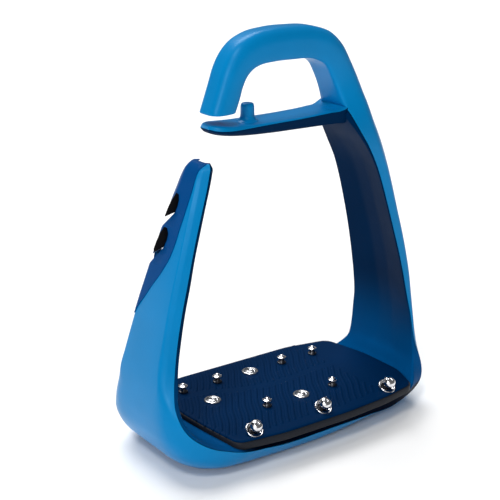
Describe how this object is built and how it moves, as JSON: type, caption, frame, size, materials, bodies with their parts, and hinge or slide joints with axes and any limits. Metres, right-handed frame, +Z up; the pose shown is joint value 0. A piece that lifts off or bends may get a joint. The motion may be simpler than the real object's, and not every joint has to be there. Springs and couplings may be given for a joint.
{
  "type": "stirrup iron",
  "caption": "Stirrup iron with a ribbed, studded tread, a firm main branch, an outer branch that springs outwards, and an eye whose lower bar flexes to let the leather in.",
  "frame": {"origin": "under the middle of the base, on the surface the iron stands on", "axes": "+X across the tread towards the main branch that carries the eye, -Y towards the toe side, +Z up towards the eye"},
  "size_m": [0.1368, 0.0697, 0.1731],
  "materials": {
    "spring_steel": "spring steel strip, bright rolled",
    "light_blue_shell": "satin, finely grained",
    "navy_liner": "satin, soft to the touch",
    "light_blue_branch": "satin, finely grained",
    "navy_branch_liner": "satin, soft to the touch",
    "deep_blue_cover": "satin",
    "black_rubber": "matt",
    "blue_gate": "satin, moulded flexible polymer",
    "grey_carrier": "matt, glass-filled",
    "navy_grip": "ribbed, matt",
    "bright_stud": "polished",
    "bright_washer": "polished, cupped",
    "bright_screw": "stainless",
    "brass_insert": "machined"
  },
  "bodies": {
    "iron_frame": {"spring_steel_core": "spring_steel", "body_shell": "light_blue_shell", "inner_liner": "navy_liner", "tread_carrier": "grey_carrier", "tread_grip_pad": "navy_grip", "tread_stud_1": "bright_stud", "tread_stud_2": "bright_stud", "tread_stud_3": "bright_stud", "tread_stud_4": "bright_stud", "tread_stud_5": "bright_stud", "tread_stud_6": "bright_stud", "toe_stud_1": "bright_stud", "toe_stud_2": "bright_stud", "toe_stud_3": "bright_stud", "toe_stud_washer_1": "bright_washer", "toe_stud_washer_2": "bright_washer", "toe_stud_washer_3": "bright_washer", "tread_screw_1": "bright_screw", "tread_screw_2": "bright_screw", "tread_screw_3": "bright_screw", "threaded_insert_1": "brass_insert", "threaded_insert_2": "brass_insert", "threaded_insert_3": "brass_insert"},
    "flexible_branch": {"outer_branch": "light_blue_branch", "outer_branch_liner": "navy_branch_liner", "outer_branch_tip_cover": "deep_blue_cover", "upper_gill_insert": "black_rubber", "lower_gill_insert": "black_rubber"},
    "eye_gate": {"leather_gate": "blue_gate"}
  },
  "joints": [
    {"name": "outer_branch_flex", "type": "hinge", "parent": "iron_frame", "child": "flexible_branch", "pos_m": [-0.0679, 0, 0.03015], "axis": [0, -1, 0], "range_deg": [0, 45], "stiffness_Nm_per_rad": 12},
    {"name": "gate_flex", "type": "hinge", "parent": "iron_frame", "child": "eye_gate", "pos_m": [0.0278, 0, 0.1304], "axis": [0, -1, 0], "range_deg": [0, 5], "stiffness_Nm_per_rad": 4}
  ]
}
